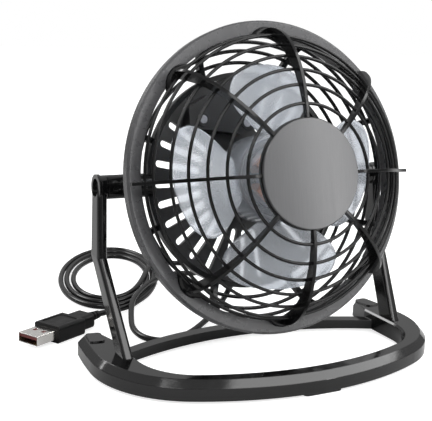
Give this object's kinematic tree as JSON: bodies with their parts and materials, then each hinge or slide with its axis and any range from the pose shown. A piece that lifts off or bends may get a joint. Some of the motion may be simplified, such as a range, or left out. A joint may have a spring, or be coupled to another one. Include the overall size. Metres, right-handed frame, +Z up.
{
  "type": "desk fan",
  "caption": "Small USB desk fan: round wire guard with a plain centre disc, clear blades, tilting head between two arms on an open loop base, and a lead in loose loops with its plug.",
  "frame": {"origin": "middle of the fan's outer box, without its lead, on the surface it stands on", "axes": "+Z up, front of the fan towards -Y, +X to the right seen from the front"},
  "size_m": [0.1799, 0.2616, 0.1478],
  "materials": {
    "black_gloss": "polished black ABS",
    "black_satin": "satin black ABS",
    "bezel_gloss": "satin charcoal ABS",
    "disc_grey": "fine vertical brushed grey",
    "housing_black": "moulded black ABS",
    "pad_rubber": "soft rubber",
    "screw_steel": "zinc plated",
    "core_steel": "laminated",
    "magnet": "bonded ferrite",
    "copper_wire": "enamelled copper winding",
    "contact_brass": "gold flash",
    "board_green": "solder mask",
    "bearing_nylon": "natural nylon",
    "blade_frost": "frosted clear",
    "switch_plastic": "ribbed",
    "cord_pvc": "soft PVC sheath",
    "plug_pvc": "moulded PVC",
    "plug_nickel": "nickel plated",
    "tongue_plastic": "dark red-brown"
  },
  "bodies": {
    "stand": {"base_frame": "black_gloss", "foot_pad_front": "pad_rubber", "foot_pad_left": "pad_rubber", "foot_pad_right": "pad_rubber", "left_arm": "black_gloss", "right_arm": "black_gloss", "arm_screw_left": "screw_steel", "arm_screw_right": "screw_steel", "cord_run": "cord_pvc", "cord_coil": "cord_pvc", "cord_lead": "cord_pvc", "plug_body": "plug_pvc", "plug_shell": "plug_nickel", "plug_tongue": "tongue_plastic", "plug_contact_1": "contact_brass", "plug_contact_2": "contact_brass", "plug_contact_3": "contact_brass", "plug_contact_4": "contact_brass"},
    "head": {"front_bezel": "bezel_gloss", "front_grille": "black_satin", "grille_disc": "disc_grey", "rear_cage": "black_satin", "vent_plate": "housing_black", "rear_cap": "housing_black", "switch_cover": "housing_black", "cover_screw_1": "screw_steel", "cover_screw_2": "screw_steel", "switch_body": "switch_plastic", "bearing_tube": "bearing_nylon", "circuit_board": "board_green", "stator_core": "core_steel", "coil_1": "copper_wire", "coil_2": "copper_wire", "coil_3": "copper_wire", "coil_4": "copper_wire", "cord_gland": "cord_pvc", "cord_drop": "cord_pvc"},
    "rotor": {"impeller": "blade_frost", "rotor_yoke": "screw_steel", "magnet_ring": "magnet", "shaft": "screw_steel"},
    "switch": {"switch_knob": "switch_plastic"}
  },
  "joints": [
    {"name": "head_tilt", "type": "hinge", "parent": "stand", "child": "head", "pos_m": [0, 0.0298, 0.0761], "axis": [-1, 0, 0], "range_deg": [-20, 50], "deforming": ["cord_drop"]},
    {"name": "fan_spin", "type": "hinge", "parent": "head", "child": "rotor", "pos_m": [0, 0.0298, 0.0761], "axis": [0, -0.9792, 0.2028], "continuous": true},
    {"name": "power_switch", "type": "slide", "parent": "head", "child": "switch", "axis": [1, 0, 0], "range_m": [0, 0.003]}
  ]
}
